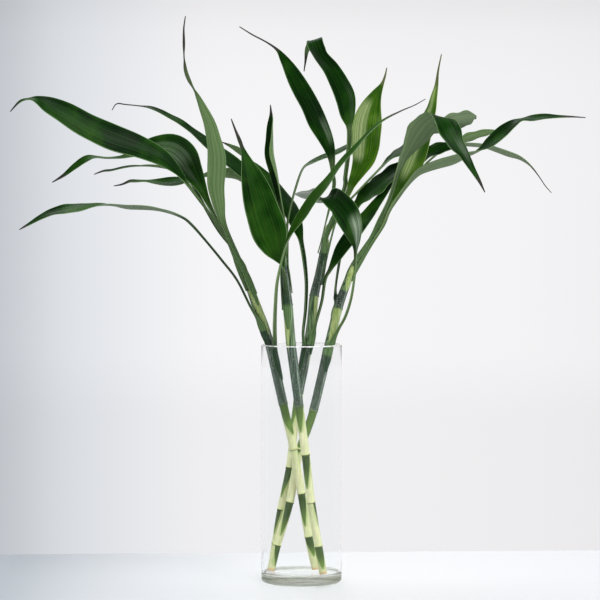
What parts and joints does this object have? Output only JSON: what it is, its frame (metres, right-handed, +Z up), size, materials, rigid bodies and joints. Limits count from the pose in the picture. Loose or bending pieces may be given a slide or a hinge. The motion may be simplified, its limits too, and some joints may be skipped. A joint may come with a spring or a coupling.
{
  "type": "vase of lucky bamboo",
  "caption": "Cut lucky bamboo stems with long green leaves fanning out of a tall, clear glass cylinder vase.",
  "frame": {"origin": "centre of the vase's flat underside", "axes": "+Z up along the vase; +X to the right and +Y away, as the plant is seen from the front"},
  "size_m": [0.7125, 0.2486, 0.7081],
  "materials": {
    "glass": "clear, polished",
    "cane": "smooth, satin, yellow-green with darker green below each node",
    "leaf_dark": "glossy deep green, paler beneath, fine lengthwise veins",
    "leaf_bright": "glossy fresh green, fine lengthwise veins"
  },
  "bodies": {
    "root": {"vase": "glass", "stem_left": "cane", "stem_front": "cane", "stem_back": "cane", "stem_right": "cane", "leaf_left_low": "leaf_dark", "leaf_left_broad": "leaf_dark", "leaf_left_arched": "leaf_dark", "leaf_left_curled": "leaf_dark", "leaf_left_upright": "leaf_dark", "leaf_crossing": "leaf_dark", "leaf_front_broad": "leaf_dark", "leaf_arching": "leaf_dark", "leaf_level": "leaf_dark", "leaf_folded": "leaf_dark", "leaf_kinked": "leaf_dark", "leaf_back_shaded": "leaf_dark", "leaf_top_left": "leaf_dark", "leaf_top_hooked": "leaf_dark", "leaf_bright": "leaf_bright", "leaf_slim_right": "leaf_dark", "leaf_low_right": "leaf_dark", "leaf_bent_over": "leaf_dark", "leaf_right_dark": "leaf_dark", "leaf_right_fallen": "leaf_dark", "leaf_right_bright": "leaf_bright", "leaf_right_long": "leaf_dark", "leaf_right_back": "leaf_dark"}
  },
  "joints": []
}
